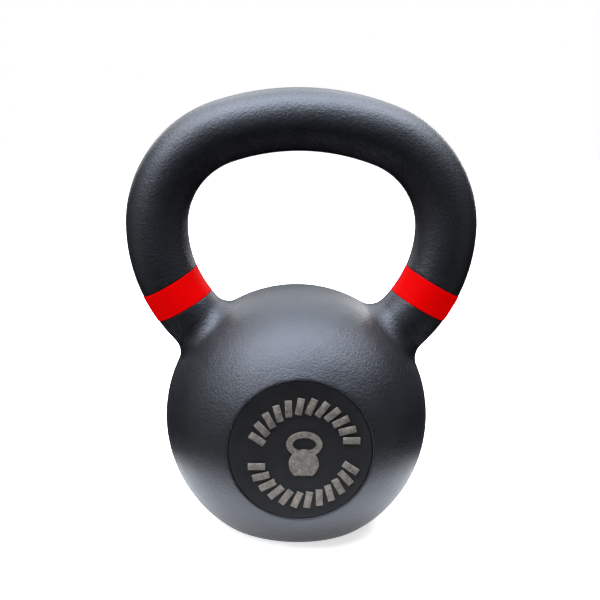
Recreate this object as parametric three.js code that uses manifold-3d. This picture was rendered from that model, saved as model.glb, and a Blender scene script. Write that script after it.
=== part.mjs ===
// A cast iron kettlebell: one casting of ball, horns and handle, with two colour bands wrapped
// round its horns and a moulded badge glued into a round seat on each face of the ball.
// Millimetres, +Z up. The origin is the centre of the flat base, X runs along the handle and
// the front badge faces -Y.
import * as THREE from "three";
import { mergeVertices } from "three/addons/utils/BufferGeometryUtils.js";
import Module from "manifold-3d";

const wasm = await Module();
wasm.setup();

// ---------------------------------------------------------------- driving dimensions
// Ball
const BALL_RADIUS = 77.7;
const BASE_RADIUS = 42.2; // of the flat foot, inside its rounded edge
const BASE_EDGE_ROUND = 8;

// Handle: a planar centreline of three tangent arcs a side, from the middle of the grip down
const HANDLE_DIAMETER = 35.8;
const HAND_CLEARANCE = 78.9; // between the top of the ball and the underside of the grip
const GRIP_ARC_RADIUS = 136.7;
const GRIP_ARC_ANGLE = 20; // degrees
const SHOULDER_ARC_RADIUS = 56.3;
const SHOULDER_ARC_ANGLE = 70.6; // degrees
const LEG_ARC_RADIUS = 79.6;
const HORN_FILLET = 11; // the cast radius between horn and ball
const HORN_ROOT = 20; // how far the horn runs on inside the ball
const FILLET_SINK = 0.3; // how far the fillet's ends lie under the surfaces that it runs into

// Colour bands
const BAND_WIDTH = 16.6; // between its two edges, which are parallel
const BAND_THICKNESS = 0.8;
const BAND_PROUD = 0.2; // how far the band stands out of its groove
const LEFT_BAND_ABOVE_BALL = 24.4; // along the centreline, from the ball's surface to the band's middle
const RIGHT_BAND_ABOVE_BALL = 28.4; // the bands are wrapped by hand, and this one sits higher
const BAND_GAP = 0.3; // room for the glue under the band and at its edges
const BAND_SEAM = 0.8; // the butt joint where the wrapped strip's ends meet

// Badges
const BADGE_RADIUS = 39.2;
const BADGE_THICKNESS = 1.6;
const BADGE_CHAMFER = 0.5;
const BADGE_SET_BACK = 0.9; // from the seat's rim to the badge's face
const BADGE_GAP = 0.3; // room for the glue behind the badge and round its edge
const MARK_RELIEF = 0.5;
const MARKS_RIGHT = 2; // the marks are printed a little off the badge's middle
const MARKS_UP = -1.6;
const BAR_COUNT = 12; // in each of the two arcs of slanted bars
const BAR_WIDTH = 3.8;
const BAR_LENGTH = 9.4;
const BAR_RING_RADIUS = 26.8; // to the middle of a bar
const BAR_ARC_SPAN = 146; // degrees
const BAR_SLANT = 16; // degrees
const PICTOGRAM_HEIGHT = 25;
const PICTOGRAM_BALL_RADIUS = 8.2;
const PICTOGRAM_RING_WIDTH = 19.6;
const PICTOGRAM_RING_HEIGHT = 14.4;
const PICTOGRAM_RING_STROKE = 3.4;
const PICTOGRAM_FOOT_ANGLE = 35; // degrees, half the angle that the flat foot spans
const NUMERAL_HEIGHT = 22;
const NUMERAL_STROKE = 4.6;
const NUMERAL_SPACE = 3.4; // between the two numerals
const SIX_WIDTH = 13.2;
const SIX_BOWL_HEIGHT = 12.4; // of the six's closed part

// Fineness of the faceted solids
const BALL_SEGMENTS = 48;
const BALL_ARC_STEPS = 21;
const EDGE_ROUND_STEPS = 4;
const HANDLE_SIDES = 24;
const HANDLE_STEPS = 60;
const FILLET_STEPS = 7;
const SLEEVE_STEPS = 5;
const BADGE_SEGMENTS = 64;
const PICTOGRAM_SEGMENTS = 36;

// ---------------------------------------------------------------- values that follow
const radians = THREE.MathUtils.degToRad;
const HANDLE_RADIUS = HANDLE_DIAMETER / 2;
const EDGE_CENTRE_RADIUS = BALL_RADIUS - BASE_EDGE_ROUND; // from the ball's centre to its edge round's
const BASE_DEPTH = BASE_EDGE_ROUND + Math.sqrt(EDGE_CENTRE_RADIUS ** 2 - BASE_RADIUS ** 2);
const GRIP_TOP = BALL_RADIUS + HAND_CLEARANCE + HANDLE_RADIUS; // centreline, above the ball's centre
const SEAT_RADIUS = BADGE_RADIUS + BADGE_GAP;
const SEAT_RIM = Math.sqrt(BALL_RADIUS ** 2 - SEAT_RADIUS ** 2); // distance of the seat's rim from the axis
const BADGE_FACE = SEAT_RIM - BADGE_SET_BACK;
const SEAT_FLOOR = BADGE_FACE - BADGE_THICKNESS - BADGE_GAP;
const BAND_FLOOR = HANDLE_RADIUS + BAND_PROUD - BAND_THICKNESS; // inner radius of a band

// ---------------------------------------------------------------- solids and meshes
// A closed geometry as a manifold-3d solid.
function solidOf(geometry) {
  const bare = geometry.clone();
  bare.deleteAttribute("normal");
  bare.deleteAttribute("uv");
  const merged = mergeVertices(bare, 1e-4);
  return new wasm.Manifold(
    new wasm.Mesh({
      numProp: 3,
      vertProperties: new Float32Array(merged.attributes.position.array),
      triVerts: new Uint32Array(merged.index.array),
    }),
  );
}

// A manifold-3d solid as a geometry with flat normals.
function geometryOf(solid) {
  const mesh = solid.getMesh();
  const indexed = new THREE.BufferGeometry()
    .setAttribute("position", new THREE.BufferAttribute(mesh.vertProperties, 3))
    .setIndex(new THREE.BufferAttribute(mesh.triVerts, 1));
  const geometry = indexed.toNonIndexed();
  geometry.computeVertexNormals();
  return geometry;
}

function namedMesh(name, solid, material) {
  const mesh = new THREE.Mesh(geometryOf(solid), material);
  mesh.name = name;
  return mesh;
}

// ---------------------------------------------------------------- ball
// Half outline of the ball, from the centre of the base up to the top: a flat foot, a rounded
// edge that runs tangent into the sphere, and the sphere.
function ballOutline() {
  const edgeCentre = new THREE.Vector2(BASE_RADIUS, BASE_EDGE_ROUND - BASE_DEPTH);
  const sphereStart = edgeCentre.angle() - 2 * Math.PI; // polar angle where round and sphere meet
  const points = [new THREE.Vector2(0, -BASE_DEPTH)];
  for (let i = 0; i < EDGE_ROUND_STEPS; i++) {
    const angle = THREE.MathUtils.lerp(-Math.PI / 2, sphereStart, i / EDGE_ROUND_STEPS);
    const spoke = new THREE.Vector2(Math.cos(angle), Math.sin(angle));
    points.push(edgeCentre.clone().addScaledVector(spoke, BASE_EDGE_ROUND));
  }
  for (let i = 0; i <= BALL_ARC_STEPS; i++) {
    const angle = THREE.MathUtils.lerp(sphereStart, Math.PI / 2, i / BALL_ARC_STEPS);
    const x = i === BALL_ARC_STEPS ? 0 : BALL_RADIUS * Math.cos(angle);
    points.push(new THREE.Vector2(x, BALL_RADIUS * Math.sin(angle)));
  }
  return points;
}

// The ball with its centre at the origin. LatheGeometry turns about Y, so it is stood up.
function ballSolid() {
  const lathe = new THREE.LatheGeometry(ballOutline(), BALL_SEGMENTS);
  lathe.rotateX(Math.PI / 2);
  return solidOf(lathe);
}

// ---------------------------------------------------------------- handle centreline
// Right half of the handle's centreline in the XZ plane, with the ball's centre at the origin:
// arcs that bend down one after the other. The leg's arc ends where its tangent points at the
// ball's centre, and from there the horn runs straight on into the ball.
function centrelinePieces() {
  const pieces = [];
  let point = new THREE.Vector2(0, GRIP_TOP);
  let heading = 0;
  let start = 0;
  const addArc = (radius, angle) => {
    const centre = new THREE.Vector2(
      point.x + radius * Math.sin(heading),
      point.y - radius * Math.cos(heading),
    );
    pieces.push({ kind: "arc", centre, radius, heading, start, length: radius * angle });
    heading -= angle;
    start += radius * angle;
    point = new THREE.Vector2(
      centre.x - radius * Math.sin(heading),
      centre.y + radius * Math.cos(heading),
    );
  };
  addArc(GRIP_ARC_RADIUS, radians(GRIP_ARC_ANGLE));
  addArc(SHOULDER_ARC_RADIUS, radians(SHOULDER_ARC_ANGLE));
  const legCentre = new THREE.Vector2(
    point.x + LEG_ARC_RADIUS * Math.sin(heading),
    point.y - LEG_ARC_RADIUS * Math.cos(heading),
  );
  const toBall = Math.atan2(-legCentre.y, -legCentre.x); // from the arc's centre to the ball's
  const tangentAngle = toBall + Math.acos(LEG_ARC_RADIUS / legCentre.length());
  const endHeading = tangentAngle - Math.PI / 2;
  const turn = THREE.MathUtils.euclideanModulo(heading - endHeading, 2 * Math.PI);
  addArc(LEG_ARC_RADIUS, turn);
  const length = Math.max(0, point.length() - BALL_RADIUS) + HORN_ROOT;
  pieces.push({ kind: "line", point, heading, start, length });
  return pieces;
}

const PIECES = centrelinePieces();
const [, SHOULDER_ARC, LEG_ARC, ROOT_LINE] = PIECES;
const HALF_LENGTH = ROOT_LINE.start + ROOT_LINE.length;
const HORN_LEAN = -Math.PI / 2 - ROOT_LINE.heading; // of a horn's straight end, from upright

// Point and heading of the right half at a distance from the middle of the grip.
function centrelineAt(station) {
  const piece = PIECES.find((p) => station <= p.start + p.length) ?? ROOT_LINE;
  const along = station - piece.start;
  if (piece.kind === "line") {
    return {
      x: piece.point.x + along * Math.cos(piece.heading),
      z: piece.point.y + along * Math.sin(piece.heading),
      heading: piece.heading,
    };
  }
  const heading = piece.heading - along / piece.radius;
  return {
    x: piece.centre.x - piece.radius * Math.sin(heading),
    z: piece.centre.y + piece.radius * Math.cos(heading),
    heading,
  };
}

// The station where the centreline comes within a distance of the ball's centre.
function stationWithin(distance) {
  let [far, near] = [0, HALF_LENGTH];
  for (let i = 0; i < 40; i++) {
    const middle = (far + near) / 2;
    const { x, z } = centrelineAt(middle);
    if (Math.hypot(x, z) > distance) far = middle;
    else near = middle;
  }
  return near;
}

const SURFACE_STATION = stationWithin(BALL_RADIUS); // where the centreline enters the ball

// The centreline between two stations, which are negative on the left half.
class HandleCurve extends THREE.Curve {
  constructor(from, to) {
    super();
    this.from = from;
    this.to = to;
  }

  getPoint(t, target = new THREE.Vector3()) {
    const station = THREE.MathUtils.lerp(this.from, this.to, t);
    const { x, z } = centrelineAt(Math.abs(station));
    return target.set(Math.sign(station) * x, 0, z);
  }
}

// ---------------------------------------------------------------- handle
function circle(radius) {
  return new THREE.Shape().absarc(0, 0, radius, 0, 2 * Math.PI, false);
}

// A section swept along the centreline. An arc of a shape gets twice its curve segments.
function swept(section, from, to, steps) {
  return new THREE.ExtrudeGeometry(section, {
    extrudePath: new HandleCurve(from, to),
    curveSegments: HANDLE_SIDES / 2,
    steps,
  });
}

function handleSolid() {
  return solidOf(swept(circle(HANDLE_RADIUS), -HALF_LENGTH, HALF_LENGTH, HANDLE_STEPS));
}

// The root of a horn, turned about the horn's straight end, with the fillet as its side. The
// fillet's arc touches a bar and a ball that are both a little too small, so that it sinks
// through the real ones at a slight angle and ends inside them. side is 1 at the right.
function hornRoot(side) {
  const across = HANDLE_RADIUS - FILLET_SINK + HORN_FILLET; // from the horn's axis to the arc's centre
  const up = Math.sqrt((BALL_RADIUS - FILLET_SINK + HORN_FILLET) ** 2 - across ** 2);
  const span = Math.atan2(up, across); // from the touch on the bar to the touch on the ball
  const outline = [new THREE.Vector2(0, BALL_RADIUS - HORN_ROOT)];
  for (let i = FILLET_STEPS; i >= 0; i--) {
    const angle = (span * i) / FILLET_STEPS;
    outline.push(
      new THREE.Vector2(
        across - HORN_FILLET * Math.cos(angle),
        up - HORN_FILLET * Math.sin(angle),
      ),
    );
  }
  outline.push(new THREE.Vector2(0, up));
  const root = new THREE.LatheGeometry(outline, HANDLE_SIDES);
  root.rotateX(Math.PI / 2);
  root.rotateY(side * HORN_LEAN);
  return solidOf(root);
}

// ---------------------------------------------------------------- colour bands
// The bands and grooves are made on the right horn, and the left ones are then mirrored.
const LEFT_BAND = SURFACE_STATION - LEFT_BAND_ABOVE_BALL; // stations of the bands' middles
const RIGHT_BAND = SURFACE_STATION - RIGHT_BAND_ABOVE_BALL;

// A box set square to the right horn at a station, and moved back by an offset.
function boxAcrossHorn(station, along, across, deep, back) {
  const { x, z, heading } = centrelineAt(station);
  const box = new THREE.BoxGeometry(along, deep, across);
  box.translate(0, back, 0);
  box.rotateY(-heading);
  box.translate(x, 0, z);
  return solidOf(box);
}

// A sleeve round the right horn between two radii, with parallel ends.
function bandSleeve(station, inner, outer, width) {
  const section = circle(outer);
  section.holes.push(new THREE.Path().absarc(0, 0, inner, 0, 2 * Math.PI, true));
  const long = swept(section, station - width, station + width, SLEEVE_STEPS);
  return solidOf(long).intersect(boxAcrossHorn(station, width, 3 * outer, 3 * outer, 0));
}

// The groove that a band lies in. Its outer wall only has to clear the bar.
function grooveCutter(station) {
  const width = BAND_WIDTH + 2 * BAND_GAP;
  return bandSleeve(station, BAND_FLOOR - BAND_GAP, HANDLE_RADIUS + BAND_THICKNESS, width);
}

// A strip wrapped round the horn in its groove. Its ends meet in a butt joint at the back.
function bandSolid(station) {
  const strip = bandSleeve(station, BAND_FLOOR, BAND_FLOOR + BAND_THICKNESS, BAND_WIDTH);
  const long = 2 * BAND_WIDTH;
  return strip.subtract(boxAcrossHorn(station, long, BAND_SEAM, HANDLE_DIAMETER, HANDLE_RADIUS));
}

// ---------------------------------------------------------------- cast body
// A round cutter for a badge's seat. side is -1 at the front and 1 at the back.
function seatCutter(side) {
  const depth = BALL_RADIUS - SEAT_FLOOR + 1; // it runs out past the ball
  const cutter = new THREE.CylinderGeometry(SEAT_RADIUS, SEAT_RADIUS, depth, BADGE_SEGMENTS);
  cutter.translate(0, side * (SEAT_FLOOR + depth / 2), 0);
  return solidOf(cutter);
}

const castBody = ballSolid()
  .add(handleSolid())
  .add(hornRoot(-1))
  .add(hornRoot(1))
  .subtract(grooveCutter(RIGHT_BAND))
  .subtract(grooveCutter(LEFT_BAND).mirror([1, 0, 0]))
  .subtract(seatCutter(-1))
  .subtract(seatCutter(1));

// ---------------------------------------------------------------- badges
// A badge is drawn lying in the XY plane with its back at Z 0, and its marks stand on its face.
function badgePlate() {
  const outline = [
    new THREE.Vector2(0, 0),
    new THREE.Vector2(BADGE_RADIUS, 0),
    new THREE.Vector2(BADGE_RADIUS, BADGE_THICKNESS - BADGE_CHAMFER),
    new THREE.Vector2(BADGE_RADIUS - BADGE_CHAMFER, BADGE_THICKNESS),
    new THREE.Vector2(0, BADGE_THICKNESS),
  ];
  const lathe = new THREE.LatheGeometry(outline, BADGE_SEGMENTS);
  lathe.rotateX(Math.PI / 2);
  return solidOf(lathe);
}

// A flat shape as a raised mark that is rooted in the plate.
function raisedMark(shape, curveSegments = 1) {
  const root = BADGE_THICKNESS / 2;
  const mark = new THREE.ExtrudeGeometry(shape, {
    depth: BADGE_THICKNESS - root + MARK_RELIEF,
    bevelEnabled: false,
    curveSegments,
  });
  mark.translate(0, 0, root);
  return mark;
}

function rectangle(width, height, x = 0, y = 0) {
  return new THREE.Shape([
    new THREE.Vector2(x - width / 2, y - height / 2),
    new THREE.Vector2(x + width / 2, y - height / 2),
    new THREE.Vector2(x + width / 2, y + height / 2),
    new THREE.Vector2(x - width / 2, y + height / 2),
  ]);
}

// Two arcs of slanted bars, over and under the middle of the badge.
function barMarks() {
  const marks = [];
  for (const middle of [90, 270]) {
    for (let i = 0; i < BAR_COUNT; i++) {
      const place = middle + BAR_ARC_SPAN * (i / (BAR_COUNT - 1) - 0.5);
      const bar = raisedMark(rectangle(BAR_WIDTH, BAR_LENGTH));
      bar.rotateZ(radians(-BAR_SLANT));
      bar.translate(0, BAR_RING_RADIUS, 0);
      bar.rotateZ(radians(place - 90));
      marks.push(solidOf(bar));
    }
  }
  return marks;
}

// A plain kettlebell pictogram: a flat-footed disc under an oval ring.
function pictogramMarks() {
  const footAngle = radians(PICTOGRAM_FOOT_ANGLE);
  const ballHeight = PICTOGRAM_BALL_RADIUS * Math.cos(footAngle) - PICTOGRAM_HEIGHT / 2;
  const ringHeight = (PICTOGRAM_HEIGHT - PICTOGRAM_RING_HEIGHT) / 2;
  const halfWidth = PICTOGRAM_RING_WIDTH / 2;
  const halfHeight = PICTOGRAM_RING_HEIGHT / 2;
  const ball = new THREE.Shape();
  const footStart = footAngle - Math.PI / 2;
  ball.absarc(0, ballHeight, PICTOGRAM_BALL_RADIUS, footStart, Math.PI - footStart, false);
  const ring = new THREE.Shape();
  ring.absellipse(0, ringHeight, halfWidth, halfHeight, 0, 2 * Math.PI, false);
  const hole = new THREE.Path();
  const holeWidth = halfWidth - PICTOGRAM_RING_STROKE;
  const holeHeight = halfHeight - PICTOGRAM_RING_STROKE;
  hole.absellipse(0, ringHeight, holeWidth, holeHeight, 0, 2 * Math.PI, true);
  ring.holes.push(hole);
  return [ball, ring].map((shape) => solidOf(raisedMark(shape, PICTOGRAM_SEGMENTS / 2)));
}

// The number 16 in block strokes, for the mass in kilograms.
function numeralMarks() {
  const total = NUMERAL_STROKE + NUMERAL_SPACE + SIX_WIDTH;
  const one = (NUMERAL_STROKE - total) / 2;
  const six = (total - SIX_WIDTH) / 2;
  const side = (SIX_WIDTH - NUMERAL_STROKE) / 2; // from the six's middle to its upright strokes
  const top = (NUMERAL_HEIGHT - NUMERAL_STROKE) / 2;
  const bowl = (SIX_BOWL_HEIGHT - NUMERAL_HEIGHT) / 2; // middle of the six's closed part
  const bowlTop = SIX_BOWL_HEIGHT - NUMERAL_STROKE - top;
  const strokes = [
    rectangle(NUMERAL_STROKE, NUMERAL_HEIGHT, one, 0),
    rectangle(NUMERAL_STROKE, NUMERAL_HEIGHT, six - side, 0),
    rectangle(NUMERAL_STROKE, SIX_BOWL_HEIGHT, six + side, bowl),
    rectangle(SIX_WIDTH, NUMERAL_STROKE, six, top),
    rectangle(SIX_WIDTH, NUMERAL_STROKE, six, bowlTop),
    rectangle(SIX_WIDTH, NUMERAL_STROKE, six, -top),
  ];
  return strokes.map((shape) => solidOf(raisedMark(shape)));
}

// A badge stood up in its seat. side is -1 at the front and 1 at the back.
function badgeSolid(side, marks) {
  const offset = [MARKS_RIGHT, MARKS_UP, 0];
  const placed = [...barMarks(), ...marks].map((mark) => mark.translate(offset));
  return placed
    .reduce((sum, mark) => sum.add(mark), badgePlate())
    .translate([0, 0, BADGE_FACE - BADGE_THICKNESS])
    .rotate([90, 0, 0])
    .rotate([0, 0, side < 0 ? 0 : 180]);
}

// ---------------------------------------------------------------- materials and assembly
const powderCoat = new THREE.MeshStandardMaterial({ color: 0x2b2d33, roughness: 0.5, metalness: 0.3 });
const redBand = new THREE.MeshStandardMaterial({ color: 0xd20404, roughness: 0.55, metalness: 0 });
const badgeBlack = new THREE.MeshStandardMaterial({ color: 0x1c1b1d, roughness: 0.8, metalness: 0 });

const kettlebell = new THREE.Group();
kettlebell.add(
  namedMesh("cast_body", castBody, powderCoat),
  namedMesh("left_colour_band", bandSolid(LEFT_BAND).mirror([1, 0, 0]), redBand),
  namedMesh("right_colour_band", bandSolid(RIGHT_BAND), redBand),
  namedMesh("front_badge", badgeSolid(-1, pictogramMarks()), badgeBlack),
  namedMesh("back_badge", badgeSolid(1, numeralMarks()), badgeBlack),
);
for (const mesh of kettlebell.children) mesh.position.z = BASE_DEPTH;

export default kettlebell;
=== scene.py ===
# %% [markdown]
# # A cast iron kettlebell
# The bell is one iron casting with a black powder coat: a ball with a flat foot, two horns and a
# looped handle. A thin red band is wrapped round each horn and a round badge is set into each
# face of the ball. The CAD model comes in first. It is the fixed frame that every piece is built
# around, so its box is measured before anything else is made.

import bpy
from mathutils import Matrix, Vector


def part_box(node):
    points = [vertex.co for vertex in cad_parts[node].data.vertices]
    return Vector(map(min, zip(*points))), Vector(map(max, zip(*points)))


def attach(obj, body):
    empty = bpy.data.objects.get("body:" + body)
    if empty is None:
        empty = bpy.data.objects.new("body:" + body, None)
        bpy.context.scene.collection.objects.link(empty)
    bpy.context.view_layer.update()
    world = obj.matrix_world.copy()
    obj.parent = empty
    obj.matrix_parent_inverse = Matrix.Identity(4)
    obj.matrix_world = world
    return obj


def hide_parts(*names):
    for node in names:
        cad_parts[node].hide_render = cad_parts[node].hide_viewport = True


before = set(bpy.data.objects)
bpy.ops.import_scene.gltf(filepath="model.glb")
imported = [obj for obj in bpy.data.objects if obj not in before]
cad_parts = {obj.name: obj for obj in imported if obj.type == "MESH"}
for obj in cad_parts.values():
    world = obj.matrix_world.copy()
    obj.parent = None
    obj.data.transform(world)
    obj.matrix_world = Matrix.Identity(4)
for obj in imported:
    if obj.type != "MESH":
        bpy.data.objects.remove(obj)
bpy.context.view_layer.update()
print("CAD nodes:", sorted(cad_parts))

# %% [markdown]
# ## Sizes
# A caster works from a drawing, and these are the drawing's dimensions, in millimetres. Heights
# and places come from the CAD nodes: the ball's centre is level with the middle of the badge, and
# the top of the grip is the top of the casting.

# %% Dimensions of the casting
import math

import bmesh
import bpy
from mathutils import Quaternion, Vector

MM = 0.001

BALL_RADIUS = 77.7 * MM
FOOT_RADIUS = 42.2 * MM  # of the flat part
FOOT_EDGE_ROUND = 8 * MM
GRIP_RADIUS = 17.9 * MM
GRIP_ARC = (136.7 * MM, math.radians(20))  # radius and turn
SHOULDER_ARC = (56.3 * MM, math.radians(70.6))
LEG_ARC_RADIUS = 79.6 * MM
HORN_FILLET = 11 * MM

badge_low, badge_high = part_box("front_badge")
cast_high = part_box("cast_body")[1]
BALL_CENTRE = Vector((0, 0, (badge_low.z + badge_high.z) / 2))
GRIP_CENTRE = Vector((0, 0, cast_high.z - GRIP_RADIUS))
print(f"ball centre {BALL_CENTRE.z / MM:.2f} mm up, grip centre {GRIP_CENTRE.z / MM:.2f} mm up")

# %% Helpers for working by hand in code
BACKWARDS = Vector((0, 1, 0))
BEND_AXIS = -BACKWARDS  # Spin about this axis turns a ring down to the right


def deselect():
    """Object mode with nothing selected. Loading the frame leaves its nodes selected."""
    if bpy.context.object and bpy.context.object.mode != "OBJECT":
        bpy.ops.object.mode_set(mode="OBJECT")
    bpy.ops.object.select_all(action="DESELECT")


def activate(*pieces):
    """Selects pieces in object mode and makes the first of them active."""
    deselect()
    for piece in pieces:
        piece.select_set(True)
    bpy.context.view_layer.objects.active = pieces[0]
    return pieces[0]


def named(name):
    """Names the primitive that was just added and puts its place into its mesh."""
    piece = bpy.context.object
    piece.name = piece.data.name = name
    activate(piece)
    bpy.ops.object.transform_apply(location=True, rotation=True, scale=True)
    return piece


def edit(piece, everything=False):
    """Edit mode on one piece, with nothing selected or everything."""
    activate(piece)
    bpy.ops.object.mode_set(mode="EDIT")
    bpy.ops.mesh.select_mode(type="VERT")
    bpy.ops.mesh.select_all(action="SELECT" if everything else "DESELECT")


def pick(piece, kind, test):
    """In edit mode, selects the verts, edges or faces that pass a test, and returns how many."""
    bpy.ops.mesh.select_mode(type={"verts": "VERT", "edges": "EDGE", "faces": "FACE"}[kind])
    bpy.ops.mesh.select_all(action="DESELECT")
    mesh = bmesh.from_edit_mesh(piece.data)
    found = [part for part in getattr(mesh, kind) if test(part)]
    for part in found:
        part.select_set(True)
    bmesh.update_edit_mesh(piece.data)
    return len(found)


def middle(part):
    """The middle of an edge or a face."""
    return sum((v.co for v in part.verts), Vector()) / len(part.verts)


def apply(piece, kind, **settings):
    """Adds a modifier to a piece and applies it."""
    modifier = piece.modifiers.new(kind.title(), kind)
    for key, value in settings.items():
        setattr(modifier, key, value)
    activate(piece)
    bpy.ops.object.modifier_apply(modifier=modifier.name)


SMOOTH_BELOW = math.radians(35)  # a sharper edge than this stays sharp
DOUBLES = 0.005 * MM


def finish_mesh(piece):
    """Merges doubles, points the faces outwards, smooths the soft edges, and reports."""
    edit(piece, everything=True)
    bpy.ops.mesh.remove_doubles(threshold=DOUBLES)
    bpy.ops.mesh.normals_make_consistent(inside=False)
    bpy.ops.object.mode_set(mode="OBJECT")
    bpy.ops.object.shade_smooth_by_angle(angle=SMOOTH_BELOW)
    mesh = bmesh.new()
    mesh.from_mesh(piece.data)
    open_edges = sum(not e.is_manifold for e in mesh.edges)
    print(f"{piece.name}: {len(mesh.faces)} faces, {open_edges} open edges, "
          f"{mesh.calc_volume(signed=True) * 1e6:.1f} cm3")
    mesh.free()
    return piece


# %% [markdown]
# ## The handle's line
# The handle is a round bar bent along a flat line of three arcs a side: a long one over the grip,
# a tight one at the shoulder, and a leg that bends in until it points straight at the middle of
# the ball. Each arc starts where the last one ended and in the same direction, so only the radii
# and the turns are dimensions. Walking along them gives the centre of each arc, which is what
# Spin needs.

# %% Walk along the arcs
def arc_centre(point, heading, radius):
    """Centre of an arc that bends down to the right from a point. heading is 0 along +X."""
    return point + radius * Vector((math.sin(heading), 0, -math.cos(heading)))


def arc_point(centre, heading, radius):
    return centre - radius * Vector((math.sin(heading), 0, -math.cos(heading)))


grip_arc_centre = arc_centre(GRIP_CENTRE, 0, GRIP_ARC[0])
heading = -GRIP_ARC[1]
shoulder_start = arc_point(grip_arc_centre, heading, GRIP_ARC[0])
shoulder_centre = arc_centre(shoulder_start, heading, SHOULDER_ARC[0])
heading -= SHOULDER_ARC[1]
leg_start = arc_point(shoulder_centre, heading, SHOULDER_ARC[0])
leg_centre = arc_centre(leg_start, heading, LEG_ARC_RADIUS)
leg_start_heading = heading

to_ball = BALL_CENTRE - leg_centre
horn_heading = (math.atan2(to_ball.z, to_ball.x)
                + math.acos(LEG_ARC_RADIUS / to_ball.length) - math.pi / 2)
LEG_TURN = (leg_start_heading - horn_heading) % (2 * math.pi)
horn_end = arc_point(leg_centre, leg_start_heading - LEG_TURN, LEG_ARC_RADIUS)
HORN_AXIS = (horn_end - BALL_CENTRE).normalized()
HORN_LEAN = math.atan2(HORN_AXIS.x, HORN_AXIS.z)
print(f"leg turns {math.degrees(LEG_TURN):.2f} degrees, horn leans {math.degrees(HORN_LEAN):.2f}")

# %% [markdown]
# ## The casting: half of the handle
# On the real bell the handle is cast in one with the ball. A boolean of a bar and a ball would
# leave a hard crease and ragged faces where they meet. So half of the body is drawn as one skin
# instead: a circle at the middle of the grip is spun round the three arcs, and the same ring then
# widens along the cast fillet until it lies on the ball. All rings have the same number of
# points, which keeps the soft highlights on the horns clean.

# %% Spin the bar round its arcs
HANDLE_SIDES = 128
GRIP_STEPS, SHOULDER_STEPS, LEG_STEPS = 30, 44, 38

fillet_across = GRIP_RADIUS + HORN_FILLET
fillet_up = math.sqrt((BALL_RADIUS + HORN_FILLET) ** 2 - fillet_across ** 2)
horn_end_height = (horn_end - BALL_CENTRE).length
left_over = (fillet_up - horn_end_height) / LEG_ARC_RADIUS  # of the leg's turn, under the fillet

bpy.ops.mesh.primitive_circle_add(
    vertices=HANDLE_SIDES, radius=GRIP_RADIUS, location=GRIP_CENTRE, rotation=(0, math.pi / 2, 0))
body = named("cast_iron_body")
edit(body, everything=True)
for steps, turn, centre in (
    (GRIP_STEPS, GRIP_ARC[1], grip_arc_centre),
    (SHOULDER_STEPS, SHOULDER_ARC[1], shoulder_centre),
    (LEG_STEPS, LEG_TURN - left_over, leg_centre),
    (1, left_over, leg_centre),
):
    bpy.ops.mesh.spin(steps=steps, angle=turn, center=centre, axis=BEND_AXIS)
ring = [v.co.copy() for v in bmesh.from_edit_mesh(body.data).verts if v.select]
ring_centre = sum(ring, Vector()) / len(ring)
print(f"{len(ring)} points in the last ring, "
      f"{(ring_centre - horn_end).length / MM:.3f} mm off the end")

# %% Widen the ring down the fillet
FILLET_STEPS = 12
fillet_span = math.atan2(fillet_up, fillet_across)


def move_ring(centre, along, grow, flat=(1, 1, 1)):
    """Moves the selected ring by a vector, then scales it about its new centre."""
    bpy.ops.transform.translate(value=along)
    factors = [grow if f else 1 for f in flat]
    bpy.ops.transform.resize(value=factors, center_override=centre + along)


height, radius = horn_end_height, GRIP_RADIUS
for step in range(1, FILLET_STEPS + 1):
    angle = fillet_span * step / FILLET_STEPS
    new_height = fillet_up - HORN_FILLET * math.sin(angle)
    new_radius = fillet_across - HORN_FILLET * math.cos(angle)
    if step > 1:
        bpy.ops.mesh.extrude_region_move()
    move_ring(BALL_CENTRE + height * HORN_AXIS, (new_height - height) * HORN_AXIS,
              new_radius / radius)
    height, radius = new_height, new_radius
deselect()
print(f"the fillet ends {radius / MM:.2f} mm from the horn's axis, "
      f"{math.hypot(height, radius) / MM:.3f} mm from the ball's centre")

# %% [markdown]
# ## The casting: the ball
# The ball is a sphere whose pole lies on the horn's axis, so that its rings run parallel to the
# fillet's. The cap inside the fillet is taken away and the two open rings are bridged. Half of
# the body is enough, because the other half is its mirror image.

# %% Add the ball and bridge it to the horn
BALL_RINGS = 120
touch_angle = math.atan2(radius, height)  # from the horn's axis to the fillet's end
ring_angle = math.pi / BALL_RINGS

bpy.ops.mesh.primitive_uv_sphere_add(
    segments=HANDLE_SIDES, ring_count=BALL_RINGS, radius=BALL_RADIUS,
    location=BALL_CENTRE, rotation=(0, HORN_LEAN, 0))
ball = named("ball")
edit(ball)
cap_angle = touch_angle + 0.4 * ring_angle  # leaves a narrow gap for the bridge
cap = pick(ball, "verts", lambda v: (v.co - BALL_CENTRE).angle(HORN_AXIS) < cap_angle)
bpy.ops.mesh.delete(type="VERT")
activate(body, ball)
bpy.ops.object.join()
edit(body)
below_grip = 0.65 * GRIP_CENTRE.z  # the grip's own open ring is left out
bridged = pick(body, "edges", lambda e: e.is_boundary and middle(e).z < below_grip)
bpy.ops.mesh.bridge_edge_loops()
print(f"{cap} points of the cap removed, {bridged} edges bridged")

# %% Cut a mesh along a plane and keep the cut clean
SLIVER = 0.3 * MM  # a face narrower than this is merged into the cut
ON_PLANE = 0.001 * MM


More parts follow.
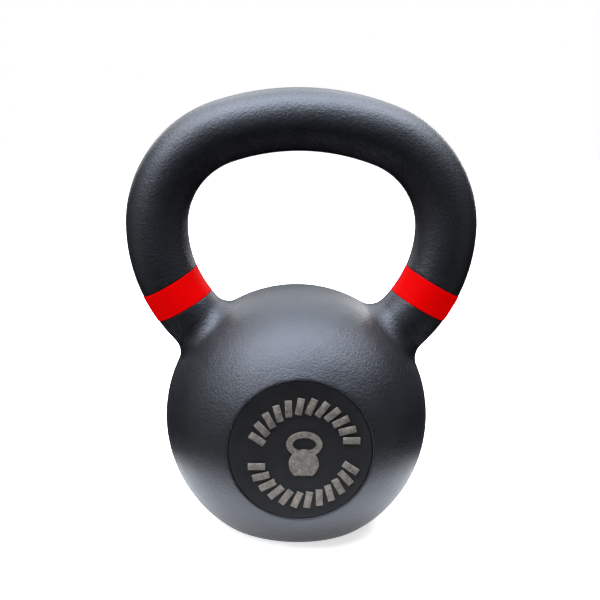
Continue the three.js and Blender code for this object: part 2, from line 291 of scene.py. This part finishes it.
def cut(piece, point, normal, clear_outer=False, clear_inner=False, where=lambda co: True):
    """Bisects a piece in edit mode and merges points that lie too near the cut into it."""
    def off(v):
        return (v.co - point).dot(normal)

    pick(piece, "faces", lambda f: where(middle(f)))
    bpy.ops.mesh.bisect(plane_co=point, plane_no=normal, clear_outer=clear_outer,
                        clear_inner=clear_inner, threshold=1e-7)
    pick(piece, "verts", lambda v: where(v.co) and ON_PLANE < abs(off(v)) < SLIVER)
    bpy.ops.mesh.remove_doubles(threshold=1.3 * SLIVER, use_unselected=True)
    count = pick(piece, "verts", lambda v: where(v.co) and abs(off(v)) < ON_PLANE)
    bpy.ops.mesh.remove_doubles(threshold=SLIVER)
    return count


# %% Mirror the half
edit(body, everything=True)
bpy.ops.mesh.bisect(plane_co=(0, 0, 0), plane_no=(1, 0, 0), clear_inner=True, threshold=1e-6)
deselect()
apply(body, "MIRROR", use_axis=(True, False, False), use_mirror_merge=True,
      merge_threshold=0.02 * MM)
edit(body, everything=True)
bpy.ops.mesh.normals_make_consistent(inside=False)
deselect()
print(f"{len(body.data.polygons)} faces after the mirror")

# %% [markdown]
# ## The casting: grooves for the bands
# Each band sits in a shallow groove round its horn. The groove's two edges are parallel, square
# to the horn at the middle of the band, so the skin is cut along two parallel planes and the
# faces between them are extruded inwards along their normals. The bands are wrapped by hand and
# don't end up level, so each horn is grooved at its own height, which the band's CAD node
# confirms.

# %% Where the bands sit
BAND_WIDTH = 16.6 * MM
BAND_THICKNESS = 0.8 * MM
BAND_PROUD = 0.2 * MM
GLUE_GAP = 0.3 * MM
LEFT_BAND_ABOVE_BALL = 24.4 * MM  # along the horn, to the band's middle
RIGHT_BAND_ABOVE_BALL = 28.4 * MM


def heading_above_ball(length):
    """The bar's heading at the right horn, a length of horn above the ball."""
    turn_back = (length - (horn_end_height - BALL_RADIUS)) / LEG_ARC_RADIUS
    return leg_start_heading - LEG_TURN + turn_back


def bar_at(heading, side=1):
    """The bar's centre and its direction where it has a heading. side is -1 at the left."""
    point = arc_point(leg_centre, heading, LEG_ARC_RADIUS)
    return (Vector((side * point.x, 0, point.z)),
            Vector((side * math.cos(heading), 0, math.sin(heading))))


left_heading = heading_above_ball(LEFT_BAND_ABOVE_BALL)
right_heading = heading_above_ball(RIGHT_BAND_ABOVE_BALL)
for node, heading, side in (("left_colour_band", left_heading, -1),
                            ("right_colour_band", right_heading, 1)):
    node_middle = sum(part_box(node), Vector()) / 2
    print(f"{node} at {[round(c / MM, 1) for c in bar_at(heading, side)[0]]}, "
          f"CAD node at {[round(c / MM, 1) for c in node_middle]}")

# %% Cut a groove round each horn
GROOVE_EDGE = 0.22 * MM
HORN_REACH = 1.6 * BAND_WIDTH  # of the horn round a band, clear of the rest of the body
groove_half = BAND_WIDTH / 2 + GLUE_GAP
groove_depth = BAND_THICKNESS - BAND_PROUD + GLUE_GAP


def groove(piece, point, line):
    """Sinks a groove with softened edges, square to the bar at a point."""
    def near(co):
        return (co - point).length < HORN_REACH

    def along(co):
        return (co - point).dot(line)

    def is_rim(edge):
        on_plane = all(abs(abs(along(v.co)) - groove_half) < 0.01 * MM for v in edge.verts)
        return near(middle(edge)) and on_plane and edge.calc_face_angle(0) > math.radians(45)

    for end in (-1, 1):
        cut(piece, point + end * groove_half * line, line, where=near)
    sunk = pick(piece, "faces", lambda f: near(middle(f)) and abs(along(middle(f))) < groove_half)
    bpy.ops.mesh.extrude_region_shrink_fatten(
        TRANSFORM_OT_shrink_fatten={"value": -groove_depth})
    front = max(-v.co.y for v in bmesh.from_edit_mesh(piece.data).verts if v.select)
    rims = pick(piece, "edges", is_rim)
    bpy.ops.mesh.bevel(offset=GROOVE_EDGE, segments=2, affect="EDGES")
    print(f"{sunk} faces sunk to radius {front / MM:.2f} mm, {rims} edges softened")


edit(body)
groove(body, *bar_at(left_heading, -1))
groove(body, *bar_at(right_heading))

# %% [markdown]
# ## The casting: badge seats and foot
# A round seat is sunk into each face of the ball and the underside is ground flat. Both are made
# the same way. The ball is cut off square, which leaves an open ring, and the ring is extruded
# and scaled along the outline of a rounded edge, the seat's wall or the flat. That keeps real
# rounded edges, which catch a thin line of light, and leaves the rest of the ball untouched.

# %% Turn an outline from an open ring
def turned(piece, centre, axis, outline):
    """Cuts a piece off where an outline of (radius, height) starts, and extrudes along it."""
    flat = [1 - abs(c) for c in axis]
    first_height = outline[0][1]
    cut(piece, centre + first_height * axis, axis, clear_outer=True)
    for (r0, h0), (r1, h1) in zip(outline, outline[1:]):
        bpy.ops.mesh.extrude_region_move()
        move_ring(centre + h0 * axis, (h1 - h0) * axis, r1 / r0, flat)
    bpy.ops.mesh.merge(type="CENTER")


def rounded(centre_radius, centre_height, size, start, end, steps):
    """Points (radius, height) of an arc between two angles from the radius axis, in degrees."""
    angles = [math.radians(start + (end - start) * i / steps) for i in range(steps + 1)]
    return [(centre_radius + size * math.cos(a), centre_height + size * math.sin(a))
            for a in angles]


# %% Sink the seats and grind the foot
SEAT_RADIUS = 39.5 * MM
SEAT_DEPTH = 2.8 * MM  # the badge's set-back and thickness, and the glue
SEAT_EDGE_ROUND = 0.7 * MM
seat_floor = math.sqrt(BALL_RADIUS ** 2 - SEAT_RADIUS ** 2) - SEAT_DEPTH

inner = BALL_RADIUS - SEAT_EDGE_ROUND
seat_across = SEAT_RADIUS + SEAT_EDGE_ROUND
seat_up = math.sqrt(inner ** 2 - seat_across ** 2)
seat_outline = rounded(seat_across, seat_up, SEAT_EDGE_ROUND,
                       math.degrees(math.atan2(seat_up, seat_across)), 180, 5)
seat_outline += [(SEAT_RADIUS, seat_floor), (0.7 * SEAT_RADIUS, seat_floor),
                 (0.3 * SEAT_RADIUS, seat_floor)]
edit(body)
for side in (-1, 1):
    turned(body, BALL_CENTRE, side * BACKWARDS, seat_outline)

foot_drop = BALL_CENTRE.z - FOOT_EDGE_ROUND  # from the ball's centre to the edge round's
foot_outline = rounded(FOOT_RADIUS, foot_drop, FOOT_EDGE_ROUND,
                       math.degrees(math.atan2(foot_drop, FOOT_RADIUS)), 90, 6)
foot_outline += [(0.7 * FOOT_RADIUS, BALL_CENTRE.z), (0.3 * FOOT_RADIUS, BALL_CENTRE.z)]
turned(body, BALL_CENTRE, Vector((0, 0, -1)), foot_outline)
finish_mesh(body)

# %% [markdown]
# ## The colour bands
# A band is a thin strip wrapped round the horn, with its ends butted together at the back. It is
# spun on the same arc as the bar, trimmed by two parallel planes, opened along one column of
# faces for the joint, and then given its thickness and softened edges. The left band is made on
# the right horn at its own height, and then flipped to the left.

# %% Wrap the bands
BAND_EDGE = 0.18 * MM
BAND_STEPS = 20
band_outside = GRIP_RADIUS + BAND_PROUD
band_reach = 0.75 * BAND_WIDTH / LEG_ARC_RADIUS  # of the leg's turn, each way from the middle


def wrap_band(name, heading):
    """A band on the right horn, with its middle where the bar has a heading."""
    point, line = bar_at(heading)
    first = heading + band_reach
    bpy.ops.mesh.primitive_circle_add(
        vertices=HANDLE_SIDES, radius=band_outside, location=bar_at(first)[0],
        rotation=(0, math.pi / 2 - first, 0))
    band = named(name)
    edit(band, everything=True)
    bpy.ops.mesh.spin(steps=BAND_STEPS, angle=2 * band_reach, center=leg_centre, axis=BEND_AXIS)
    for end in (-1, 1):
        cut(band, point + end * BAND_WIDTH / 2 * line, end * line, clear_outer=True)
    pick(band, "faces", lambda f: middle(f).y > 0.999 * band_outside)  # the column at the back
    bpy.ops.mesh.delete(type="FACE")
    edit(band, everything=True)
    bpy.ops.mesh.normals_make_consistent(inside=False)
    deselect()
    outward = sum((p.normal.dot(p.center - point) > 0) - 0.5 for p in band.data.polygons)
    print(f"{name}: {len(band.data.polygons)} faces in the strip")
    apply(band, "SOLIDIFY", thickness=BAND_THICKNESS, offset=-1 if outward > 0 else 1)
    apply(band, "BEVEL", width=BAND_EDGE, segments=2, limit_method="ANGLE",
          angle_limit=math.radians(50))
    return band


right_band = finish_mesh(wrap_band("right_red_band", right_heading))
left_band = activate(wrap_band("left_red_band", left_heading))
left_band.scale.x = -1
left_band = finish_mesh(named("left_red_band"))

# %% [markdown]
# ## The badges
# A badge is a thin moulded disc with its marks raised on its face. A disc is drawn at its place,
# its front edge is bevelled and its face gets a fine step, as a moulding has. Each mark is
# modelled flat at the middle of the badge, standing a little into the disc so that nothing shows
# light between them. All of this is drawn for the front, and the back's pieces are turned copies.

# %% Make the disc
BADGE_RADIUS = 39.2 * MM
BADGE_THICKNESS = 1.6 * MM
BADGE_CHAMFER = 0.5 * MM
MARK_RELIEF = 0.5 * MM
BADGE_SIDES = 160
FACE_INSETS = (1.0, 0), (0.25, 0.12), (8, 0), (14, 0)  # mm across and down: a rim, a step, rings
badge_face = badge_low.y + MARK_RELIEF  # the disc's own face, behind the marks


def facing_front(face):
    return face.normal.y < -0.9


bpy.ops.mesh.primitive_cylinder_add(
    vertices=BADGE_SIDES, radius=BADGE_RADIUS, depth=BADGE_THICKNESS,
    location=(0, badge_face + BADGE_THICKNESS / 2, BALL_CENTRE.z), rotation=(math.pi / 2, 0, 0))
front_badge = named("front_badge_disc")
edit(front_badge)
pick(front_badge, "edges", lambda e: all(v.co.y < badge_face + 0.01 * MM for v in e.verts))
bpy.ops.mesh.bevel(offset=BADGE_CHAMFER, segments=4, affect="EDGES")
pick(front_badge, "faces", lambda f: facing_front(f) and len(f.verts) > 8)
for across, down in FACE_INSETS:
    bpy.ops.mesh.inset(thickness=across * MM, depth=-down * MM)
finish_mesh(front_badge)

# %% Model one slanted bar and copy it round two arcs
BAR_SIZE = (3.8 * MM, 9.4 * MM)
BAR_RING_RADIUS = 26.8 * MM
BAR_COUNT = 12  # in each arc
BAR_ARC_SPAN = math.radians(146)
BAR_SLANT = math.radians(16)
MARK_EDGE = 0.16 * MM
MARK_ROOT = 0.3 * MM  # how far a mark runs into the disc
MARKS_OFFSET = Vector((2, 0, -1.6)) * MM  # they are printed a little off the badge's middle
BADGE_MIDDLE = Vector((0, badge_face, BALL_CENTRE.z))
mark_depth = MARK_RELIEF + MARK_ROOT
mark_y = badge_face + (MARK_ROOT - MARK_RELIEF) / 2


def soften_marks(piece):
    """Rounds the edges of a mark as a mould does."""
    apply(piece, "BEVEL", width=MARK_EDGE, segments=2, limit_method="ANGLE",
          angle_limit=math.radians(40))
    return piece


def block(name, width, height, across=0, up=0):
    """A flat block on the badge's face, across and up from the badge's middle."""
    bpy.ops.mesh.primitive_cube_add(
        size=1, scale=(width, mark_depth, height),
        location=(across, mark_y, BALL_CENTRE.z + up))
    return named(name)


def turn_about_badge(piece, angle):
    """Turns a piece's mesh about the badge's middle, anticlockwise as seen from the front."""
    activate(piece)
    piece.rotation_euler = (0, -angle, 0)
    piece.location = BADGE_MIDDLE - Quaternion(BACKWARDS, -angle) @ BADGE_MIDDLE
    bpy.ops.object.transform_apply(location=True, rotation=True, scale=True)


bar = soften_marks(block("bar", *BAR_SIZE))
turn_about_badge(bar, -BAR_SLANT)
bar.location.z = BAR_RING_RADIUS
bar = named("bar")
bars = []
for arc_middle in (0, math.pi):
    for place in range(BAR_COUNT):
        activate(bar)
        bpy.ops.object.duplicate(linked=False)
        copy = bpy.context.object
        turn_about_badge(copy, arc_middle + BAR_ARC_SPAN * (place / (BAR_COUNT - 1) - 0.5))
        bars.append(copy)
bpy.data.objects.remove(bar)
front_bars = activate(*bars)
bpy.ops.object.join()
front_bars.location += MARKS_OFFSET
front_bars = named("front_badge_bars")
finish_mesh(front_bars)

# %% Join blocks into one mark
UNION_SLIVER = 0.05 * MM


def union(piece, *others):
    """Adds other closed pieces to a piece, removes them, and merges the slivers of the joint."""
    for other in others:
        apply(piece, "BOOLEAN", operation="UNION", solver="EXACT", object=other)
        bpy.data.objects.remove(other)
    edit(piece, everything=True)
    bpy.ops.mesh.remove_doubles(threshold=UNION_SLIVER)
    deselect()
    return piece


# %% Draw the pictogram: a flat-footed disc under an oval ring
PICTOGRAM_HEIGHT = 25 * MM
PICTOGRAM_BALL = 8.2 * MM
PICTOGRAM_RING = (19.6 * MM, 14.4 * MM)
PICTOGRAM_STROKE = 3.4 * MM
PICTOGRAM_FOOT = math.radians(35)
PICTOGRAM_SIDES = 72

foot_below = PICTOGRAM_BALL * math.cos(PICTOGRAM_FOOT)
disc_up = foot_below - PICTOGRAM_HEIGHT / 2
bpy.ops.mesh.primitive_cylinder_add(
    vertices=PICTOGRAM_SIDES, radius=PICTOGRAM_BALL, depth=mark_depth,
    location=(0, mark_y, BALL_CENTRE.z + disc_up), rotation=(math.pi / 2, 0, 0))
pictogram = named("front_badge_pictogram")
edit(pictogram, everything=True)
bpy.ops.mesh.bisect(plane_co=(0, 0, BALL_CENTRE.z - PICTOGRAM_HEIGHT / 2), plane_no=(0, 0, 1),
                    clear_inner=True, use_fill=True)

ring_up = (PICTOGRAM_HEIGHT - PICTOGRAM_RING[1]) / 2
ring_middle = Vector((0, mark_y, BALL_CENTRE.z + ring_up))
bpy.ops.object.mode_set(mode="OBJECT")
bpy.ops.mesh.primitive_circle_add(
    vertices=PICTOGRAM_SIDES, radius=PICTOGRAM_RING[1] / 2,
    location=ring_middle + mark_depth / 2 * BACKWARDS, rotation=(math.pi / 2, 0, 0))
oval = named("oval")
edit(oval, everything=True)
bpy.ops.transform.resize(value=(PICTOGRAM_RING[0] / PICTOGRAM_RING[1], 1, 1),
                         center_override=ring_middle)
bpy.ops.mesh.extrude_region_move()
hole = [1 - 2 * PICTOGRAM_STROKE / size for size in PICTOGRAM_RING]
bpy.ops.transform.resize(value=(hole[0], 1, hole[1]), center_override=ring_middle)
bpy.ops.mesh.select_all(action="SELECT")
bpy.ops.mesh.extrude_region_move(TRANSFORM_OT_translate={"value": -mark_depth * BACKWARDS})
finish_mesh(oval)
finish_mesh(pictogram)
union(pictogram, oval)
soften_marks(pictogram)
pictogram.location += MARKS_OFFSET
pictogram = finish_mesh(named("front_badge_pictogram"))

# %% Draw the number 16 for the back, as seen from the front side
NUMERAL_HEIGHT = 22 * MM
NUMERAL_STROKE = 4.6 * MM
NUMERAL_SPACE = 3.4 * MM
SIX_WIDTH = 13.2 * MM
SIX_BOWL = 12.4 * MM

total = NUMERAL_STROKE + NUMERAL_SPACE + SIX_WIDTH
one_across = (NUMERAL_STROKE - total) / 2
six_across = (total - SIX_WIDTH) / 2
upright = (SIX_WIDTH - NUMERAL_STROKE) / 2
top = (NUMERAL_HEIGHT - NUMERAL_STROKE) / 2
one = block("one", NUMERAL_STROKE, NUMERAL_HEIGHT, one_across)
six = union(
    block("six", NUMERAL_STROKE, NUMERAL_HEIGHT, six_across - upright),
    block("six_top", SIX_WIDTH, NUMERAL_STROKE, six_across, top),
    block("six_middle", SIX_WIDTH, NUMERAL_STROKE, six_across, SIX_BOWL - NUMERAL_STROKE - top),
    block("six_bottom", SIX_WIDTH, NUMERAL_STROKE, six_across, -top),
    block("six_side", NUMERAL_STROKE, SIX_BOWL, six_across + upright,
          (SIX_BOWL - NUMERAL_HEIGHT) / 2))
soften_marks(one)
numeral = activate(soften_marks(six), one)
bpy.ops.object.join()
numeral.location += MARKS_OFFSET
numeral = named("back_badge_numeral")
finish_mesh(numeral)

# %% Turn copies round to the back
def turned_to_back(piece, name, keep=True):
    """A copy of a piece, or the piece itself, turned half round the upright axis."""
    activate(piece)
    if keep:
        bpy.ops.object.duplicate(linked=False)
    bpy.context.object.rotation_euler.z = math.pi
    return named(name)


back_badge = turned_to_back(front_badge, "back_badge_disc")
back_bars = turned_to_back(front_bars, "back_badge_bars")
numeral = turned_to_back(numeral, "back_badge_numeral", keep=False)
print("back pieces:", back_badge.name, back_bars.name, numeral.name)

# %% [markdown]
# ## Finishes
# Shader maths is easier to read as a formula than as a web of nodes. A small class wraps a socket
# so that Python's operators add Math nodes, and one method adds any other node with its settings
# and inputs. Patterns use Object coordinates in metres, so a scale of 1000 is one cell a
# millimetre.

# %% A socket that can be calculated with
class Value:
    """A shader socket. An operator on it adds a Math node and gives that node's output."""

    def __init__(self, finish, socket):
        self.finish, self.socket = finish, socket

    def math(self, operation, first, second):
        return self.finish.node("ShaderNodeMath", {"operation": operation}, {0: first, 1: second})

    def __add__(self, other):
        return self.math("ADD", self, other)

    def __sub__(self, other):
        return self.math("SUBTRACT", self, other)

    def __rsub__(self, other):
        return self.math("SUBTRACT", other, self)

    def __mul__(self, other):
        return self.math("MULTIPLY", self, other)

    __radd__, __rmul__ = __add__, __mul__

    def ramp(self, low, high):
        """0 below low and 1 above high, smooth in between."""
        return self.finish.node(
            "ShaderNodeMapRange", {"interpolation_type": "SMOOTHSTEP"},
            {"Value": self, "From Min": low, "From Max": high}, "Result")


# %% A finish: a material on Object coordinates
class Finish:
    """A material with one Principled shader, whose constants are set on its own sockets."""

    def __init__(self, name, **constants):
        self.material = bpy.data.materials.new(name)
        self.material.use_nodes = True
        self.tree = self.material.node_tree
        self.shader = self.tree.nodes["Principled BSDF"]
        for socket, value in constants.items():
            self.shader.inputs[socket.replace("_", " ")].default_value = value
        self.place = self.node("ShaderNodeTexCoord", output="Object")

    def node(self, kind, settings=None, inputs=None, output=0):
        """Adds a node: its settings first, then its sockets, by name or number."""
        made = self.tree.nodes.new(kind)
        for key, value in (settings or {}).items():
            setattr(made, key, value)
        for key, value in (inputs or {}).items():
            if isinstance(value, Value):
                self.tree.links.new(value.socket, made.inputs[key])
            else:
                made.inputs[key].default_value = value
        return Value(self, made.outputs[output])

    def noise(self, scale, detail=2.0, roughness=0.5, stretch=None):
        """Noise of about 0 to 1 in cells of 1 / scale metres."""
        place = self.place
        if stretch:
            place = self.node("ShaderNodeMapping", None, {"Vector": place, "Scale": stretch})
        return self.node("ShaderNodeTexNoise", None, {
            "Vector": place, "Scale": scale, "Detail": detail, "Roughness": roughness})

    def blend(self, mask, first, second):
        """Colour first where the mask is 0 and second where it is 1."""
        return self.node("ShaderNodeMix", {"data_type": "RGBA"}, {0: mask, 6: first, 7: second}, 2)

    def bump(self, height, distance, strength=1.0):
        return self.node("ShaderNodeBump", None, {
            "Height": height, "Distance": distance, "Strength": strength})

    def feed(self, **values):
        """Links what changes over the surface to the shader's sockets."""
        for socket, value in values.items():
            self.tree.links.new(value.socket, self.shader.inputs[socket.replace("_", " ")])
        return self.material

    def height_above_floor(self):
        return self.node("ShaderNodeSeparateXYZ", None, {0: self.place}, "Z")


# %% [markdown]
# ### Powder coat
# The paint is sprayed on dry and baked, and it flows out into a fine orange peel over the
# slightly uneven cast iron. So there are three bumps: slow waves of the casting, the peel of
# about a millimetre, and the grain of the powder. The colour hardly changes, but the gloss does:
# the grip is a little smoother where hands rub it, and the foot's edge is scuffed.

# %% Powder coat
COAT_BLACK = (0.0040, 0.0040, 0.0046, 1)
COAT_GREY = (0.0060, 0.0060, 0.0068, 1)
SCUFF_GREY = (0.060, 0.060, 0.062, 1)

coat = Finish("black_powder_coat", Specular_Tint=(0.86, 0.90, 1.0, 1))
cloud = coat.noise(38, 3)
peel = coat.noise(760, 2, 0.5)
powder = coat.noise(2300, 2, 0.6)
waves = coat.noise(70, 2)
up = coat.height_above_floor()
rubbed = up.ramp(0.19, 0.245) * cloud.ramp(0.35, 0.65)
low_edge = 1 - up.ramp(0.0008, 0.0045)
scuff = low_edge * coat.noise(420, 4, 0.7).ramp(0.52, 0.66)
black = coat.blend(cloud.ramp(0.3, 0.7), COAT_BLACK, COAT_GREY)
gloss = 0.40 + 0.06 * cloud + 0.08 * powder - 0.03 * rubbed + 0.16 * scuff
relief = 0.0004 * waves + 0.00026 * peel + 0.00008 * powder
POWDER_COAT = coat.feed(
    Base_Color=coat.blend(scuff, black, SCUFF_GREY), Roughness=gloss,
    Normal=coat.bump(relief, 1.0))
print("powder coat:", len(coat.tree.nodes), "nodes")

# %% [markdown]
# ### Red band
# The band is a thin strip of red vinyl, flat and saturated, with a very fine grain and a
# few deeper patches. A part of the colour is painted glow: the band gives off red light of its own,
# so it stays flat and bright where it is shaded, and the sheen is turned nearly off so that no
# white lies over the red.

# %% Red band
BAND_RED = (0.21, 0.0002, 0.0003, 1)
BAND_DEEP_RED = (0.18, 0.0002, 0.0003, 1)
# painted glow: red emission that fills in the band's shade so that it looks evenly lit
BAND_PAINTED_GLOW = (0.47, 0.0, 0.0002, 1)

vinyl = Finish("red_vinyl", Specular_IOR_Level=0.02, Emission_Color=BAND_PAINTED_GLOW,
               Emission_Strength=1.0)
vinyl_cloud = vinyl.noise(120, 3)
vinyl_grain = vinyl.noise(2400, 2, 0.6)
RED_VINYL = vinyl.feed(
    Base_Color=vinyl.blend(vinyl_cloud.ramp(0.35, 0.75), BAND_RED, BAND_DEEP_RED),
    Roughness=0.5 + 0.08 * vinyl_cloud + 0.06 * vinyl_grain,
    Normal=vinyl.bump(0.00003 * vinyl_grain, 1.0))

# %% [markdown]
# ### Badge
# The badge is a matt black moulding with a fine spark-eroded grain. Its raised marks are printed
# in a warm grey that has rubbed thin, so the black shows through it in specks.

# %% Badge moulding and its printed marks
MOULDED_BLACK = (0.0098, 0.0092, 0.0098, 1)
MOULDED_DARK = (0.0068, 0.0065, 0.0070, 1)
PRINT_GREY = (0.200, 0.174, 0.147, 1)
PRINT_DARK = (0.105, 0.092, 0.079, 1)

moulding = Finish("badge_moulding", Specular_IOR_Level=0.2)
mould_cloud = moulding.noise(60, 3)
mould_grain = moulding.noise(2600, 3, 0.65)
BADGE_MOULDING = moulding.feed(
    Base_Color=moulding.blend(mould_cloud.ramp(0.3, 0.7), MOULDED_BLACK, MOULDED_DARK),
    Roughness=0.68 + 0.1 * mould_grain,
    Normal=moulding.bump(0.00005 * mould_grain, 1.0))

marking = Finish("badge_print", Specular_IOR_Level=0.2)
print_cloud = marking.noise(300, 3, 0.6)
print_specks = marking.noise(1500, 4, 0.7)
thin = print_specks.ramp(0.50, 0.68)
printed = marking.blend(print_cloud.ramp(0.3, 0.7), PRINT_GREY, PRINT_DARK)
BADGE_PRINT = marking.feed(
    Base_Color=marking.blend(0.75 * thin, printed, MOULDED_BLACK),
    Roughness=0.7 + 0.12 * print_specks,
    Normal=marking.bump(0.00006 * print_specks, 1.0))

# %% Give every piece its finish, its body and the node that it stands for
def place_piece(piece, material, slot, *nodes):
    piece.data.materials.clear()
    piece.data.materials.append(material)
    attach(piece, "root")
    if nodes:
        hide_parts(*nodes)


place_piece(body, POWDER_COAT, "powder_coat", "cast_body")
place_piece(left_band, RED_VINYL, "red_band", "left_colour_band")
place_piece(right_band, RED_VINYL, "red_band", "right_colour_band")
place_piece(front_badge, BADGE_MOULDING, "badge_black", "front_badge")
place_piece(back_badge, BADGE_MOULDING, "badge_black", "back_badge")
for mark in (front_bars, pictogram, back_bars, numeral):
    place_piece(mark, BADGE_PRINT, "badge_black")

# %% [markdown]
# ## Studio
# The bell stands on a backlit acrylic sheet, as small products do when they are shot on white:
# the sheet glows, so it stays pale and the shadow under the ball is light. Black coated iron
# shows hardly anything but what it reflects, so the light is planned as what the coat sees.
# Overhead it is a broad bright ceiling of soft panels, stronger at the front and left. At eye
# level it is dark but for two faint low panels, which keep the sides of the ball from going quite
# black. Below it is the lit sheet close to the foot, which brightens the underside of the ball.
# The rest of the sheet is seen by the camera alone. Two small lights close behind the shoulders
# give the handle its pale rims.

# %% Acrylic sheet
SHEET_RADIUS = 3.0
NEAR_RADIUS = 0.125  # the part of the sheet that the coat reflects
NEAR_MIDDLE = (0.006, 0, 0)
NEAR_GLOW, FAR_GLOW = 0.68, 1.0
SHEET_DROP = 0.5 * MM


def acrylic(name, glow):
    """Pale acrylic that glows evenly, a little cloudy inside."""
    sheet = Finish(name, Roughness=0.9, Specular_IOR_Level=0.1, Emission_Color=(1, 1, 1, 1),
                   Emission_Strength=glow)
    cloudy = sheet.noise(9, 3)
    return sheet.feed(Base_Color=sheet.blend(cloudy, (0.84, 0.84, 0.84, 1), (0.82, 0.82, 0.825, 1)))


def sheet_disc(name, radius, place, glow):
    bpy.ops.mesh.primitive_circle_add(
        vertices=128, radius=radius, fill_type="NGON", location=place)
    disc = named(name)
    edit(disc, everything=True)
    bpy.ops.mesh.inset(thickness=0.3 * radius)
    deselect()
    disc.data.materials.append(acrylic(name + "_acrylic", glow))
    return disc


sheet_disc("sheet_under_bell", NEAR_RADIUS, NEAR_MIDDLE, NEAR_GLOW)
far_sheet = sheet_disc("sheet_around", SHEET_RADIUS, (0, 0, -SHEET_DROP), FAR_GLOW)
for ray in ("glossy", "diffuse", "shadow"):
    setattr(far_sheet, "visible_" + ray, False)

# %% Soft panels on a dome round the bell
PANEL_SIZE = 1.0
DOME_RADIUS = 1.5
DOME_MIDDLE = Vector((0, 0, 0.12))
COOL_WHITE = (0.80, 0.88, 1.0)
PALE_WHITE = (0.90, 0.94, 1.0)
PURE_WHITE = (1.0, 1.0, 1.0)


def soft_panel(name, azimuth, elevation, watts, colour,
               size=PANEL_SIZE, distance=DOME_RADIUS, target=DOME_MIDDLE):
    """A square soft light. Azimuth is from the bell's right, anticlockwise from above."""
    light = bpy.data.lights.new(name, "AREA")
    light.shape, light.size, light.energy, light.color = "SQUARE", size, watts, colour
    around, up = math.radians(azimuth), math.radians(elevation)
    out = Vector((math.cos(up) * math.cos(around), math.cos(up) * math.sin(around), math.sin(up)))
    panel = bpy.data.objects.new(name, light)
    panel.location = target + distance * out
    panel.rotation_euler = out.to_track_quat("Z", "Y").to_euler()
    panel.visible_camera = False
    bpy.context.scene.collection.objects.link(panel)


for name, azimuth, elevation, watts, colour in (
    ("panel_over_front", 250, 72, 46, COOL_WHITE),
    ("panel_over_right", 0, 76, 18, COOL_WHITE),
    ("panel_front_left", 210, 40, 25, PALE_WHITE),
    ("panel_left", 180, 60, 24, PALE_WHITE),
    ("panel_right", 0, 60, 28, PALE_WHITE),
    ("panel_back_left", 120, 42, 9, PALE_WHITE),
    ("panel_back", 90, 50, 9, PALE_WHITE),
    ("panel_back_right", 60, 42, 9, PALE_WHITE),
    ("panel_low_left", 190, -12, 1.7, PURE_WHITE),
    ("panel_low_right", -20, -12, 1.2, PURE_WHITE),
):
    soft_panel(name, azimuth, elevation, watts, colour)

# %% Small lights close behind the shoulders
RIM_SIZE, RIM_DISTANCE, RIM_ELEVATION = 0.16, 0.4, 6
SHOULDER = Vector((0.085, 0, 0.22))

for side, azimuth, watts in ((-1, 113, 0.35), (1, 67, 0.6)):
    soft_panel(f"panel_rim_{azimuth}", azimuth, RIM_ELEVATION, watts, PURE_WHITE,
               RIM_SIZE, RIM_DISTANCE, Vector((side * SHOULDER.x, 0, SHOULDER.z)))
print(len(bpy.data.lights), "lights")

# %% White surround, which only the camera sees
world = bpy.data.worlds.new("white_surround")
bpy.context.scene.world = world
world.use_nodes = True
world.node_tree.nodes["Background"].inputs["Color"].default_value = (1, 1, 1, 1)
world.cycles_visibility.diffuse = world.cycles_visibility.glossy = False

# %% Camera
CAMERA_PLACE = BALL_CENTRE + Vector((-27.2, -620.4, 203.3)) * MM
CAMERA_AIM = Vector((0.1, 0, 132.9)) * MM
CAMERA_ROLL = math.radians(1.79)
LENS, SENSOR = 64.76, 36  # mm
NEAREST, FARTHEST = 0.05, 30  # what the camera sees, in metres

view = bpy.data.cameras.new("camera")
view.lens, view.sensor_width = LENS, SENSOR
view.clip_start, view.clip_end = NEAREST, FARTHEST
camera = bpy.data.objects.new("camera", view)
camera.location = CAMERA_PLACE
turn = (CAMERA_AIM - CAMERA_PLACE).to_track_quat("-Z", "Y") @ Quaternion((0, 0, 1), CAMERA_ROLL)
camera.rotation_euler = turn.to_euler()
bpy.context.scene.collection.objects.link(camera)
bpy.context.scene.camera = camera
bpy.context.scene.view_settings.view_transform = "Standard"
